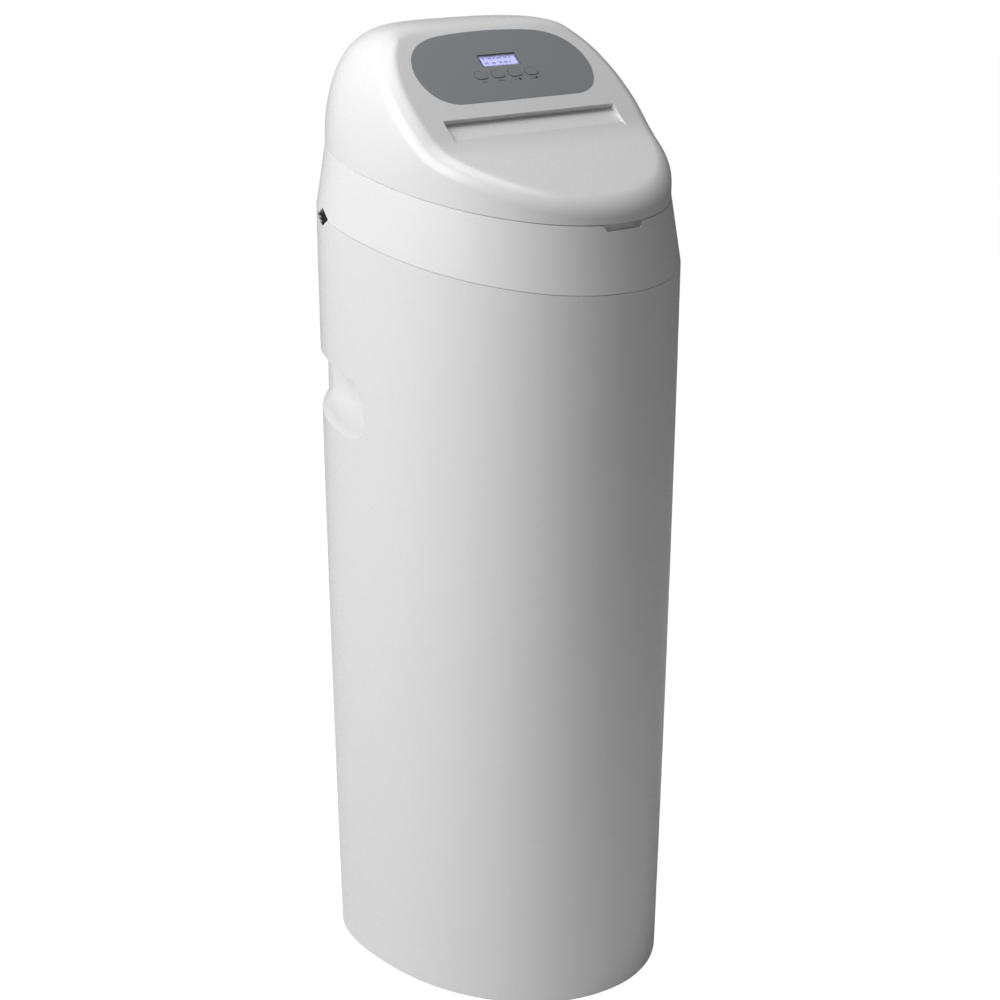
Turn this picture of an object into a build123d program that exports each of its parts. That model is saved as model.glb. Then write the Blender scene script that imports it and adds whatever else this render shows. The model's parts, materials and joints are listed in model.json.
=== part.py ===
import os
from math import asin, atan, atan2, copysign, cos, degrees, hypot, pi, radians, sin, tan

from build123d import *

os.makedirs("parts", exist_ok=True)

# Cabinet water softener in millimetres. The front faces -Y, +Z is up and the origin
# lies on the floor, in the middle of the overall outline.

# Driving dimensions of the casing
body_width = 378.0
front_reach = 213.0
rear_reach = 213.0
widest_setback = 29.0
seam_height = 900.0
seam_pitch = 9.76
collar_rise = 71.0
overall_height = 1130.0
front_roundness = 2.06
rear_roundness = 2.7
outline_steps = 6

# Cabinet
base_width = 355.0
base_front_reach = 200.0
base_rear_reach = 205.0
base_lift = 3.0
wall_bulge = 1.6
base_rounding = 6.0
foot_turn_shares = (0, 1 / 3, 2 / 3, 1)
cabinet_wall = 4.0
cabinet_floor = 5.0
rim_width = 16.0
rim_thickness = 4.0

# Hand grips in the rear corners of the cabinet
grip_front_y = 29.0
grip_rear_y = 230.0
grip_low_z = 664.0
grip_high_z = 733.0
grip_low_lift = 20.0
grip_high_lift = 45.0
grip_front_inner_x = 161.0
grip_rear_inner_x = 130.0
grip_rounding = 28.0
grip_draft = 14.0

# Service opening at the back, where the pipes leave
service_width = 210.0
service_sill = 800.0
service_rounding = 20.0

# Small see-through notches for hoses, across the lower seam at the sides
hose_notch_y = 116.0
hose_notch_length = 38.0
hose_notch_height = 22.0
rim_gap_front_y = 88.0
rim_gap_rear_y = 146.0

# Collar
collar_top_width = 358.0
collar_top_front = 199.5
collar_top_rear = 202.0
collar_wall = 3.0
collar_flange = 4.0
seam_groove_depth = 1.5
seam_groove_height = 1.0
lip_height = 5.0
lip_width = 2.0
lip_root = 8.0
lip_clearance = 2.5
latch_width = 57.0
latch_slant = 5.0
latch_height = 6.5
latch_depth = 4.0

# Hood
lid_gap = 1.2
hood_wall = 3.0
dome_width = 357.0
dome_front = 199.0
dome_rear = 201.5
dome_start = 975.0
dome_sharpness = 5.5
dome_roundness_gain = 0.5
face_pitch = 43.0
face_line_y = -38.5
face_line_z = 1035.0
apron_pitch = 21.4
apron_drop = 41.5
apron_bend = 100.0
brow_radius = 70.0
brow_margin = 3.0
ridge_rounding = 16.0
slice_base = 918.0
slice_rise_shares = (
    0, 0.02, 0.04, 0.06, 0.078, 0.092, 0.104, 0.118, 0.134, 0.152, 0.172, 0.194, 0.22, 0.25,
    0.285, 0.325, 0.37, 0.43, 0.51, 0.61, 0.71, 0.81, 0.887, 0.943, 0.976, 0.9965,
)
front_corner_share = 0.75
front_turn_shares = (0, 0.3, 0.58, 0.78, 0.9, 0.96)
rear_turn_shares = (0, 0.025, 0.06, 0.12, 0.22, 0.36, 0.52, 0.68, 0.84, 1)

# Finger recess under the panel
scoop_width = 245.0
scoop_depth = 8.0
scoop_length = 33.0

# Control panel, in the plane of the face: across, and up from the finger recess
overlay_low = 19.5
overlay_high = 121.0
overlay_bottom_half = 84.0
overlay_side = (
    (101.0, 24.0), (113.0, 33.0), (121.0, 47.0), (124.0, 63.0), (121.0, 80.0), (111.5, 96.0),
    (90.0, 111.0), (50.0, 119.0),
)
overlay_depth = 1.2
overlay_proud = 0.3
display_width = 54.0
display_height = 16.5
display_centre = 76.5
display_ledge = 2.0
button_width = 17.5
button_height = 10.5
button_pitch = 24.0
button_shift = -1.5
button_line = 57.0
button_clearance = 0.25
button_proud = 0.6
button_flange = 1.5
button_flange_thickness = 1.2
button_stem_radius = 3.0
button_travel = 0.8
button_count = 4

# Electronics behind the panel
board_width = 136.0
board_height = 64.0
board_centre = 66.0
board_thickness = 1.6
board_depth = 12.0
boss_radius = 4.0
boss_inset = 6.0
boss_root = 1.0
screw_radius = 1.5
screw_head_radius = 3.0
screw_head_height = 2.2
screw_grip = 7.0
sleeve_clearance = 0.2
housing_margin = 7.0
housing_wall = 2.0
housing_depth = 24.0
switch_size = 6.0
switch_height = 3.6
switch_plunger_radius = 1.7
switch_plunger_height = 1.0
module_margin = 2.0
module_thickness = 4.0
module_seat = 0.2

# Hinge of the hood
hinge_y = 207.0
hinge_z = 1001.5
hinge_radius = 5.5
hinge_offset = 40.0
knuckle_length = 16.0
knuckle_web = 10.0
knuckle_rise = 10.0
ear_length = 7.0
ear_gap = 0.4
ear_drop = 14.0
hinge_clearance = 0.6
hinge_pin_radius = 2.5
running_clearance = 0.05

# Screws of the flanges and the feet
rim_screw_radius = 2.0
rim_screw_head_radius = 4.0
rim_screw_head_height = 2.5
rim_screw_inset = 9.5
rim_screw_turn_shares = (-0.62, 0.1, 0.45)
foot_radius = 15.0
foot_front_x = 95.0
foot_front_y = -120.0
foot_rear_x = 105.0
foot_rear_y = 140.0

# Resin vessel in its rubber boot
vessel_y = 85.0
vessel_radius = 101.5
vessel_wall = 3.0
vessel_base = 12.0
vessel_shoulder = 758.0
vessel_foot_round = 50.0
vessel_head_round = 60.0
neck_radius = 33.0
neck_top = 790.0
neck_root_round = 6.0
boot_radius = 105.5
boot_clearance = 0.5
boot_height = 58.0
socket_clearance = 0.5
socket_wall = 2.5
socket_height = 12.0
bed_height = 505.0
riser_radius = 13.25
riser_bore = 11.0
strainer_radius = 28.0
strainer_height = 45.0
strainer_floor = 5.0
strainer_slits = 16
strainer_slit_width = 1.5
strainer_slit_margin = 6.0

# Control valve on the neck of the vessel
skirt_height = 25.0
valve_radius = 46.0
valve_floor = 10.0
valve_top = 858.0
chamber_radius = 36.0
rotor_clearance = 0.4
rotor_end_gap = 1.0
rotor_port_radius = 8.0
cover_thickness = 8.0
shaft_radius = 8.0
gear_gap = 6.0
gear_thickness = 8.0
gear_module = 2.0
gear_teeth = 30
pinion_teeth = 10
tooth_addendum = 0.8
tooth_dedendum = 1.2
tooth_root_share = 0.2
tooth_tip_share = 0.1
pinion_shaft_radius = 2.5
pinion_shaft_end = 8.0
post_radius = 4.0
post_distance = 40.0
post_turn = 30.0
plate_gap = 4.0
plate_thickness = 3.0
plate_margin = 6.0
motor_radius = 20.0
motor_height = 25.0
motor_cap_radius = 14.0
motor_cap_height = 6.0
cover_screw_radius = 2.0
cover_screw_head_radius = 3.5
cover_screw_head_height = 2.5
cover_screw_depth = 14.0
cover_screw_turns = (15.0, 90.0, 165.0, 225.0, 315.0)
cover_screw_distance = 41.0
port_offset = 32.0
port_z = 835.0
port_radius = 16.0
port_bore = 11.0
port_end = 151.0
side_port_z = 820.0
side_boss_radius = 10.0
side_boss_reach = 60.0

# Flow meter in the outlet port
cage_wall = 0.8
cage_length = 22.0
cage_bar_width = 3.0
cage_bar_thickness = 2.0
meter_hub_radius = 3.0
meter_hub_length = 12.0
meter_shaft_radius = 1.5
meter_blade_radius = 9.5
meter_blade_thickness = 1.2
meter_blades = 6
meter_bearing_gap = 0.05

# Bypass with a turning plug for each pipe
barrel_radius = 19.0
barrel_bore = 9.0
barrel_end = 197.0
turret_y = 175.0
turret_radius = 16.0
turret_top = 867.0
plug_radius = 12.0
plug_drop = 14.0
plug_end_gap = 1.0
cross_radius = 14.0
handle_length = 56.0
handle_width = 12.0
handle_height = 14.0
handle_hub_radius = 13.0
handle_hub_height = 6.0
handle_rounding = 2.0
tail_radius = 13.2
tail_length = 15.0
tail_shoulder_radius = 14.6
nut_radius = 23.0
nut_overlap = 5.0
nut_front = 6.0

# Drain, brine and overflow lines
drain_radius = 6.5
drain_bore = 4.5
drain_x = 69.0
drain_end = 150.0
drain_bend = 14.0
barb_height = 1.0
barb_length = 4.0
brine_radius = 4.75
brine_bore = 3.2
brine_bend = 40.0
well_x = -112.0
well_y = -45.0
well_radius = 40.0
well_wall = 2.5
well_top = 840.0
well_slot_width = 8.0
well_slot_height = 60.0
well_slot_rise = 12.0
well_hole_clearance = 0.8
rod_radius = 5.0
rod_foot_radius = 14.0
rod_foot_height = 6.0
rod_head = 9.0
brine_boss_radius = 8.0
brine_boss_reach = 24.0
brine_socket = 12.0
float_radius = 22.0
float_height = 40.0
float_rest = 300.0
float_rounding = 8.0
cap_overhang = 3.0
cap_thickness = 3.0
cap_skirt = 8.0
cap_skirt_wall = 2.0
cap_knob_radius = 10.0
cap_knob_height = 8.0
overflow_x = 120.0
overflow_z = 790.0
overflow_pad_radius = 17.0
overflow_pad_y = 168.0
overflow_shank_radius = 9.0
overflow_bend_y = 202.5
overflow_drop = 26.0
overflow_nut_radius = 14.0
overflow_nut_length = 7.0
overflow_tip = 8.0

# Power inlet in the back of the collar
inlet_z = 965.0
inlet_radius = 6.0
inlet_bore = 2.75
inlet_pin_radius = 1.05
inlet_pad = 26.0
inlet_pad_y = 198.0
inlet_inner_y = 186.0
inlet_outer_y = 207.0
inlet_floor = 4.0

# Clearance between pieces that do not touch
piece_gap = 0.3
# One overrun serves every cut that has to leave the material
overrun = 10.0

half_width = body_width / 2
seam_slope = tan(radians(seam_pitch))
middle = widest_setback


def outline_points(half, front, rear, stretch):
    """Right half of a plan outline about the widest line, from front to rear centre."""
    points = []
    for step in range(-outline_steps, outline_steps + 1):
        turn = step / outline_steps * pi / 2
        roundness = rear_roundness if step > 0 else front_roundness
        depth = rear if step > 0 else front
        across = half * cos(turn) ** (2 / roundness) if abs(step) < outline_steps else 0
        along = depth * copysign(abs(sin(turn)) ** (2 / roundness), turn)
        points.append((across, along * stretch))
    return points


def leaning_plane(height, pitch):
    """Plane through the widest line that falls towards the front by pitch degrees."""
    lean = radians(pitch)
    return Plane(origin=(0, middle, height), x_dir=(1, 0, 0), z_dir=(0, -sin(lean), cos(lean)))


def closed_outline(plane, right_half):
    """Face inside a smooth closed curve that is alike on both sides of the middle."""
    left_half = [(-x, y) for x, y in reversed(right_half[1:-1])]
    with BuildSketch(plane) as section:
        with BuildLine():
            Spline(*right_half, *left_half, periodic=True)
        make_face()
    return section.sketch.face()


def body_section(height, half, front, rear, pitch=0.0):
    """Closed plan outline whose front and rear reaches are counted from the origin."""
    stretch = 1 / cos(radians(pitch))
    points = outline_points(half, front + middle, rear - middle, stretch)
    return closed_outline(leaning_plane(height, pitch), points)


def lofted(sections):
    """Smooth solid through plan outlines."""
    with BuildPart() as form:
        loft(sections)
    return form.part


def cabinet_form(inset, bottom):
    """Tapered cabinet, drawn in by inset, from bottom up to the lower seam."""
    sections = []
    for fall in (1.0, 0.5, 0.0):
        swell = wall_bulge * 4 * fall * (1 - fall) - inset
        sections.append(
            body_section(
                bottom + (seam_height - bottom) * (1 - fall),
                half_width + (base_width / 2 - half_width) * fall + swell,
                front_reach + (base_front_reach - front_reach) * fall + swell,
                rear_reach + (base_rear_reach - rear_reach) * fall + swell,
                degrees(atan(seam_slope * (1 - fall))),
            )
        )
    return lofted(sections)


def collar_form(inset, start, stop):
    """Collar between two rises above the lower seam, drawn in by inset."""
    sections = []
    for rise in (start, stop):
        share = rise / collar_rise
        sections.append(
            body_section(
                seam_height + rise,
                half_width + (collar_top_width / 2 - half_width) * share - inset,
                front_reach + (collar_top_front - front_reach) * share - inset,
                rear_reach + (collar_top_rear - rear_reach) * share - inset,
                seam_pitch,
            )
        )
    return lofted(sections)


def rounded_foot():
    """Lowest part of the cabinet, with its edge rounded all round."""
    sections = []
    for share in foot_turn_shares:
        turn = share * pi / 2
        inset = base_rounding * (1 - cos(turn))
        height = base_lift + base_rounding * (1 - sin(turn))
        sections.append(
            body_section(
                height, base_width / 2 - inset, base_front_reach - inset, base_rear_reach - inset
            )
        )
    return lofted(sections)


def seam_slab(low, high):
    """Slab between two rises above the lower seam, wider than the casing."""
    with BuildPart() as slab:
        with BuildSketch(leaning_plane(seam_height + low, seam_pitch)):
            Rectangle(body_width * 2, (front_reach + rear_reach) * 2)
        extrude(amount=(high - low) * cos(radians(seam_pitch)))
    return slab.part


# Side view of the hood's face: a steep panel, a concave bend and a flatter apron
panel_rise = tan(radians(face_pitch))
apron_rise = tan(radians(apron_pitch))
bend_y = face_line_y - apron_drop * cos(radians(face_pitch))
bend_z = face_line_z - apron_drop * sin(radians(face_pitch))


def face_height(y, inset):
    """Height and slope of the hood's face at y, sunk by inset measured square to it."""
    panel_sink = inset / cos(radians(face_pitch))
    apron_sink = inset / cos(radians(apron_pitch))
    shift = (panel_sink - apron_sink) / (panel_rise - apron_rise)
    corner_y = bend_y + shift
    corner_z = bend_z + shift * panel_rise - panel_sink
    top = overall_height + brow_margin - inset
    bend_radius = apron_bend + inset
    brow_round = brow_radius - inset
    bend_run = bend_radius * tan(radians(face_pitch - apron_pitch) / 2)
    brow_run = brow_round * tan(radians(face_pitch) / 2)
    brow_end = corner_y + (top - corner_z) / panel_rise + brow_run
    bend_start = corner_y - bend_run * cos(radians(apron_pitch))
    if y < bend_start:
        return corner_z + (y - corner_y) * apron_rise, radians(apron_pitch)
    if y < corner_y + bend_run * cos(radians(face_pitch)):
        centre_y = bend_start - bend_radius * sin(radians(apron_pitch))
        turn = asin((y - centre_y) / bend_radius)
        start_z = corner_z + (bend_start - corner_y) * apron_rise
        return start_z + bend_radius * (cos(radians(apron_pitch)) - cos(turn)), turn
    if y < brow_end - brow_round * sin(radians(face_pitch)):
        return corner_z + (y - corner_y) * panel_rise, radians(face_pitch)
    if y < brow_end:
        turn = asin((brow_end - y) / brow_round)
        return top - brow_round * (1 - cos(turn)), turn
    return top, 0.0


def dome_share(z, inset):
    """Part of the full plan outline that the dome still has at height z, and its roundness."""
    lift = min(1.0, max(0.0, (z - dome_start) / (overall_height - inset - dome_start)))
    return (1 - lift**2) ** (1 / dome_sharpness), rear_roundness + dome_roundness_gain * lift


def wall_room_at(x, y, z, inset):
    """Distance from a point out to the dome's wall."""
    share, roundness = dome_share(z, inset)
    reach = dome_rear - middle
    if y < middle:
        reach = dome_front + middle
        roundness = front_roundness
    radial = (abs(x) / (dome_width / 2)) ** roundness + (abs(y - middle) / reach) ** roundness
    return (share - radial ** (1 / roundness)) * dome_width / 2 - inset


def hood_room(x, y, z, inset):
    """How far a point lies inside the hood, with the ridge rounded by a rolling ball."""
    wall_room = wall_room_at(x, y, z, inset)
    surface, slope = face_height(y, inset)
    face_room = (surface - z) * cos(slope)
    rounding = ridge_rounding - inset
    if wall_room > rounding or face_room > rounding:
        return min(wall_room, face_room)
    return rounding - hypot(rounding - wall_room, rounding - face_room)


def bisect(inside, low, high):
    """Place between low, where inside holds, and high, where it does not."""
    for _ in range(40):
        probe = (low + high) / 2
        if inside(probe):
            low = probe
        else:
            high = probe
    return low


def hood_slice(z, inset):
    """Horizontal outline of the hood at height z, with points crowded at its corners."""
    share = dome_share(z, inset)[0]
    front_end = middle - (dome_front + middle) * share
    rear_end = middle + (dome_rear - middle) * share
    cut_y = bisect(lambda y: face_height(y, inset)[0] < z, front_end - body_width, rear_end)
    corner_y = max(cut_y, middle - (dome_front + middle) * share * front_corner_share)
    centre_y = max(middle, (cut_y + rear_end) / 2)
    corner_x = bisect(lambda x: wall_room_at(x, corner_y, z, inset) > 0, 0, half_width)
    corner_turn = atan2(corner_y - centre_y, corner_x)
    turns = [-pi / 2 + (corner_turn + pi / 2) * part for part in front_turn_shares]
    turns += [corner_turn + (pi / 2 - corner_turn) * part for part in rear_turn_shares]
    points = []
    for turn in turns:
        out_x, out_y = cos(turn), sin(turn)
        reach = bisect(
            lambda run: hood_room(run * out_x, centre_y + run * out_y, z, inset) > 0,
            0,
            body_width,
        )
        points.append((reach * out_x, centre_y - middle + reach * out_y))
    points[0] = (0, points[0][1])
    points[-1] = (0, points[-1][1])
    return closed_outline(leaning_plane(z, 0), points)


def turned(origin, direction, profile):
    """Solid of revolution from (radius, along) points about an axis through origin."""
    along = Vector(*direction)
    across = Vector(0, 1, 0) if abs(along.X) > abs(along.Y) + abs(along.Z) else Vector(1, 0, 0)
    with BuildPart() as form:
        with BuildSketch(Plane(origin=origin, x_dir=across, z_dir=across.cross(along))):
            with BuildLine():
                Polyline(*profile, close=True)
            make_face()
        revolve(axis=Axis(origin, direction))
    return form.part


def soft_turned(x, y, points, radii):
    """Upright solid of revolution whose outline corners are rounded."""
    with BuildPart() as form:
        with BuildSketch(Plane(origin=(x, y, 0), x_dir=(1, 0, 0), z_dir=(0, -1, 0))):
            with BuildLine():
                FilletPolyline(*points, radius=radii)
                Line(points[-1], points[0])
            make_face()
        revolve(axis=Axis((x, y, 0), (0, 0, 1)))
    return form.part


def tube(origin, direction, outer, inner, start, stop):
    """Tube, or a rod where inner is 0, between two distances along its axis."""
    return turned(origin, direction, [(inner, start), (outer, start), (outer, stop), (inner, stop)])


def block(low, high):
    """Box between two opposite corners."""
    with BuildPart() as form:
        with Locations(tuple((a + b) / 2 for a, b in zip(low, high))):
            Box(*(b - a for a, b in zip(low, high)))
    return form.part


up = (0, 0, 1)
right = (1, 0, 0)
back = (0, 1, 0)
face_plane = Plane(
    origin=(0, face_line_y, face_line_z),
    x_dir=(1, 0, 0),
    z_dir=(0, -sin(radians(face_pitch)), cos(radians(face_pitch))),
)


def face_box(across, rise, width, height, low, high):
    """Box on the face plane, between two heights above it."""
    with BuildPart() as form:
        with BuildSketch(face_plane.offset(low)):
            with Locations((across, rise)):
                Rectangle(width, height)
        extrude(amount=high - low)
    return form.part


def face_rods(points, radius, low, high):
    """Rods standing square to the face plane."""
    with BuildPart() as form:
        with BuildSketch(face_plane.offset(low)):
            with Locations(*points):
                Circle(radius)
        extrude(amount=high - low)
    return form.part


def face_slot(across, grow, low, high):
    """Rounded button shape at one place of the button line, grown all round."""
    with BuildPart() as form:
        with BuildSketch(face_plane.offset(low)):
            with Locations((across, button_line)):
                SlotOverall(button_width + 2 * grow, button_height + 2 * grow)
        extrude(amount=high - low)
    return form.part


def overlay_form(low, high):
    """Outline of the control panel's overlay."""
    with BuildPart() as form:
        with BuildSketch(face_plane.offset(low)):
            with BuildLine():
                side = [(overlay_bottom_half, overlay_low), *overlay_side]
                Spline(*side, (0, overlay_high), *[(-x, y) for x, y in reversed(side)])
                Line((-overlay_bottom_half, overlay_low), (overlay_bottom_half, overlay_low))
            make_face()
        extrude(amount=high - low)
    return form.part


def scoop_form(grow, top):
    """Wedge of the finger recess, grown by a wall."""
    half_span = scoop_width / 2 + grow
    ramp_end = -scoop_length + grow / 2
    profile = [(grow, top), (grow, -scoop_depth - grow), (ramp_end, -grow), (ramp_end, top)]
    plane = Plane(
        origin=face_plane.from_local_coords((-half_span, 0, 0)),
        x_dir=(0, cos(radians(face_pitch)), sin(radians(face_pitch))),
        z_dir=(1, 0, 0),
    )
    with BuildPart() as form:
        with BuildSketch(plane):
            with BuildLine():
                Polyline(*profile, close=True)
            make_face()
        extrude(amount=2 * half_span)
    return form.part


def grip_form(side, grow):
    """Tapered hand grip recess of one side, grown by a wall."""
    mouth_x = half_width - cabinet_wall
    low = grip_low_z - grow
    rear_low = low + grip_low_lift
    high = grip_high_z + grow
    rear_high = high + grip_high_lift
    front_y = grip_front_y - grow
    points = [(grip_rear_y, rear_low), (front_y, low), (front_y, high), (grip_rear_y, rear_high)]
    plane = Plane(origin=(side * mouth_x, 0, 0), x_dir=(0, 1, 0), z_dir=(1, 0, 0))
    depth = grip_rear_inner_x - grow - mouth_x
    with BuildPart() as form:
        with BuildSketch(plane) as mouth:
            with BuildLine():
                FilletPolyline(*points, radius=(grip_rounding, grip_rounding))
                Line(points[-1], points[0])
            make_face()
        extrude(mouth.sketch, amount=side * depth, taper=grip_draft)
        extrude(mouth.sketch, amount=side * (overrun + cabinet_wall))
        with BuildSketch(Plane.XY.offset(low - body_width)):
            with BuildLine():
                Polyline(
                    (side * (grip_front_inner_x - grow), front_y - overrun),
                    (side * body_width, front_y - overrun),
                    (side * body_width, grip_rear_y + overrun),
                    (side * (grip_rear_inner_x - grow), grip_rear_y + overrun),
                    close=True,
                )
            make_face()
        extrude(amount=3 * body_width, mode=Mode.INTERSECT)
    return form.part


def seam_screws(start, stop, radius):
    """Rods square to the seam at the places of the flange screws."""
    points = []
    for share in rim_screw_turn_shares:
        turn = share * pi / 2
        roundness = rear_roundness if share > 0 else front_roundness
        depth = rear_reach - middle if share > 0 else front_reach + middle
        across = (half_width - rim_screw_inset) * cos(turn) ** (2 / roundness)
        along = (depth - rim_screw_inset) * copysign(abs(sin(turn)) ** (2 / roundness), turn)
        points += [(across, along), (-across, along)]
    lean = radians(seam_pitch)
    plane = leaning_plane(seam_height, seam_pitch)
    with BuildPart() as form:
        for point in points:
            origin = plane.from_local_coords((*point, 0))
            span = (start * cos(lean), stop * cos(lean))
            add(tube(origin, (0, -sin(lean), cos(lean)), radius, 0, *span))
    return form.part


def hose_notch_form():
    """Rhombic bar across the whole casing along the lower seam."""
    centre_z = seam_height + (hose_notch_y - middle) * seam_slope
    with BuildPart() as form:
        with BuildSketch(Plane(origin=(-body_width, 0, 0), x_dir=(0, 1, 0), z_dir=(1, 0, 0))):
            with BuildLine():
                Polyline(
                    (hose_notch_y - hose_notch_length / 2, centre_z),
                    (hose_notch_y, centre_z - hose_notch_height / 2),
                    (hose_notch_y + hose_notch_length / 2, centre_z),
                    (hose_notch_y, centre_z + hose_notch_height / 2),
                    close=True,
                )
            make_face()
        extrude(amount=2 * body_width)
    return form.part


def spread_gear(teeth, low, high, first_tooth):
    """Gear about the upright axis with straight-sided teeth."""
    pitch_radius = gear_module * teeth / 2
    tip = pitch_radius + gear_module * tooth_addendum
    root = pitch_radius - gear_module * tooth_dedendum
    step = 2 * pi / teeth
    points = []
    for tooth in range(teeth):
        middle_turn = radians(first_tooth) + tooth * step
        for radius, share in (
            (root, -tooth_root_share),
            (tip, -tooth_tip_share),
            (tip, tooth_tip_share),
            (root, tooth_root_share),
        ):
            turn = middle_turn + share * step
            points.append((radius * cos(turn), radius * sin(turn)))
    with BuildPart() as form:
        with BuildSketch(Plane.XY.offset(low)):
            with BuildLine():
                Polyline(*points, close=True)
            make_face()
        extrude(amount=high - low)
    return form.part


def around(part, x, y):
    """The part moved sideways."""
    return Pos(x, y, 0) * part


def swept_tube(points, radii, outer, inner):
    """Tube along a route with rounded bends."""
    with BuildPart() as form:
        with BuildLine() as route:
            FilletPolyline(*points, radius=radii)
        start = Plane(origin=route.line @ 0, z_dir=route.line % 0)
        with BuildSketch(start):
            Circle(outer)
            if inner:
                Circle(inner, mode=Mode.SUBTRACT)
        sweep(path=route.line)
    return form.part


def rim_gap_form(wall):
    """Gap in the flanges behind the hose notches."""
    with BuildPart() as form:
        add(collar_form(wall, -rim_thickness - overrun, collar_flange + overrun))
        low = (-body_width, rim_gap_front_y, 0)
        high = (body_width, rim_gap_rear_y, overall_height)
        add(block(low, high), mode=Mode.INTERSECT)
    return form.part


def service_form():
    """Opening at the back of the cabinet, with its lower corners rounded."""
    top = seam_height + body_width
    with BuildPart() as form:
        with BuildSketch(Plane(origin=(0, vessel_y, 0), x_dir=(-1, 0, 0), z_dir=(0, 1, 0))):
            with BuildLine():
                half = service_width / 2
                ends = [(-half, top), (-half, service_sill), (half, service_sill), (half, top)]
                FilletPolyline(*ends, radius=(service_rounding, service_rounding))
                Line(ends[-1], ends[0])
            make_face()
        extrude(amount=body_width)
    return form.part


def socket_ring():
    """Low ring on the floor that keeps the boot of the vessel in place."""
    bore = boot_radius + socket_clearance
    top = floor_top + socket_height
    return tube((0, vessel_y, 0), up, bore + socket_wall, bore, floor_top, top)


def overflow_pad():
    """Flat-faced pad inside the wall for the overflow elbow."""
    place = (overflow_x, 0, overflow_z)
    return tube(place, back, overflow_pad_radius, 0, overflow_pad_y, body_width)


def cabinet_store():
    """Room inside the cabinet, below its rim."""
    with BuildPart() as store:
        add(cabinet_form(cabinet_wall, floor_top))
        add(seam_slab(-rim_thickness, body_width), mode=Mode.SUBTRACT)
        for side in (-1, 1):
            add(grip_form(side, cabinet_wall), mode=Mode.SUBTRACT)
        add(overflow_pad(), mode=Mode.SUBTRACT)
        add(socket_ring(), mode=Mode.SUBTRACT)
    return store.part


# Cabinet with its grips, rim and openings
floor_top = base_lift + cabinet_floor
with BuildPart() as cabinet:
    add(cabinet_form(0, base_lift + base_rounding))
    add(rounded_foot())
    add(cabinet_store(), mode=Mode.SUBTRACT)
    add(collar_form(rim_width, -rim_thickness - overrun, overrun), mode=Mode.SUBTRACT)
    add(rim_gap_form(cabinet_wall), mode=Mode.SUBTRACT)
    add(seam_screws(-rim_thickness - overrun, overrun, rim_screw_radius), mode=Mode.SUBTRACT)
    for side in (-1, 1):
        add(grip_form(side, 0), mode=Mode.SUBTRACT)
    add(service_form(), mode=Mode.SUBTRACT)
    add(hose_notch_form(), mode=Mode.SUBTRACT)
    overflow_hole = tube(
        (overflow_x, 0, overflow_z), back, overflow_shank_radius, 0, vessel_y, body_width
    )
    add(overflow_hole, mode=Mode.SUBTRACT)

# Four feet under the floor
with BuildPart() as base_feet:
    with Locations(
        (foot_front_x, foot_front_y),
        (-foot_front_x, foot_front_y),
        (foot_rear_x, foot_rear_y),
        (-foot_rear_x, foot_rear_y),
    ):
        Cylinder(foot_radius, base_lift, align=(Align.CENTER, Align.CENTER, Align.MIN))

# Collar between the two seams
upper_front_z = seam_height + collar_rise - (collar_top_front + middle) * seam_slope
latch_low = upper_front_z - latch_height
collar_front = -collar_top_front


def latch_form():
    """Finger notch in the front of the collar's upper edge."""
    with BuildPart() as form:
        with BuildSketch(Plane.XZ.offset(-collar_front + overrun)):
            with BuildLine():
                half = latch_width / 2
                Polyline(
                    (half, upper_front_z + overrun),
                    (half, upper_front_z),
                    (half - latch_slant, latch_low),
                    (latch_slant - half, latch_low),
                    (-half, upper_front_z),
                    (-half, upper_front_z + overrun),
                    close=True,
                )
            make_face()
        extrude(amount=-latch_depth - overrun)
    return form.part


def collar_room():
    """Room inside the collar, with the blocks for the notch and the power inlet left in."""
    reach = latch_width / 2 + collar_wall
    back_y = collar_front + latch_depth + collar_wall
    pad = inlet_pad / 2
    with BuildPart() as room:
        add(collar_form(collar_wall, collar_flange, collar_rise - collar_flange))
        add(
            block((-reach, -body_width, latch_low - collar_wall), (reach, back_y, overall_height)),
            mode=Mode.SUBTRACT,
        )
        add(
            block((-pad, inlet_pad_y, inlet_z - pad), (pad, body_width, inlet_z + pad)),
            mode=Mode.SUBTRACT,
        )
    return room.part


def hinge_rods(offsets, length, radius):
    """Rods on the hinge axis at the given distances from the middle."""
    with BuildPart() as form:
        for offset in offsets:
            start = offset - length / 2
            add(tube((0, hinge_y, hinge_z), right, radius, 0, start, start + length))
    return form.part


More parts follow.
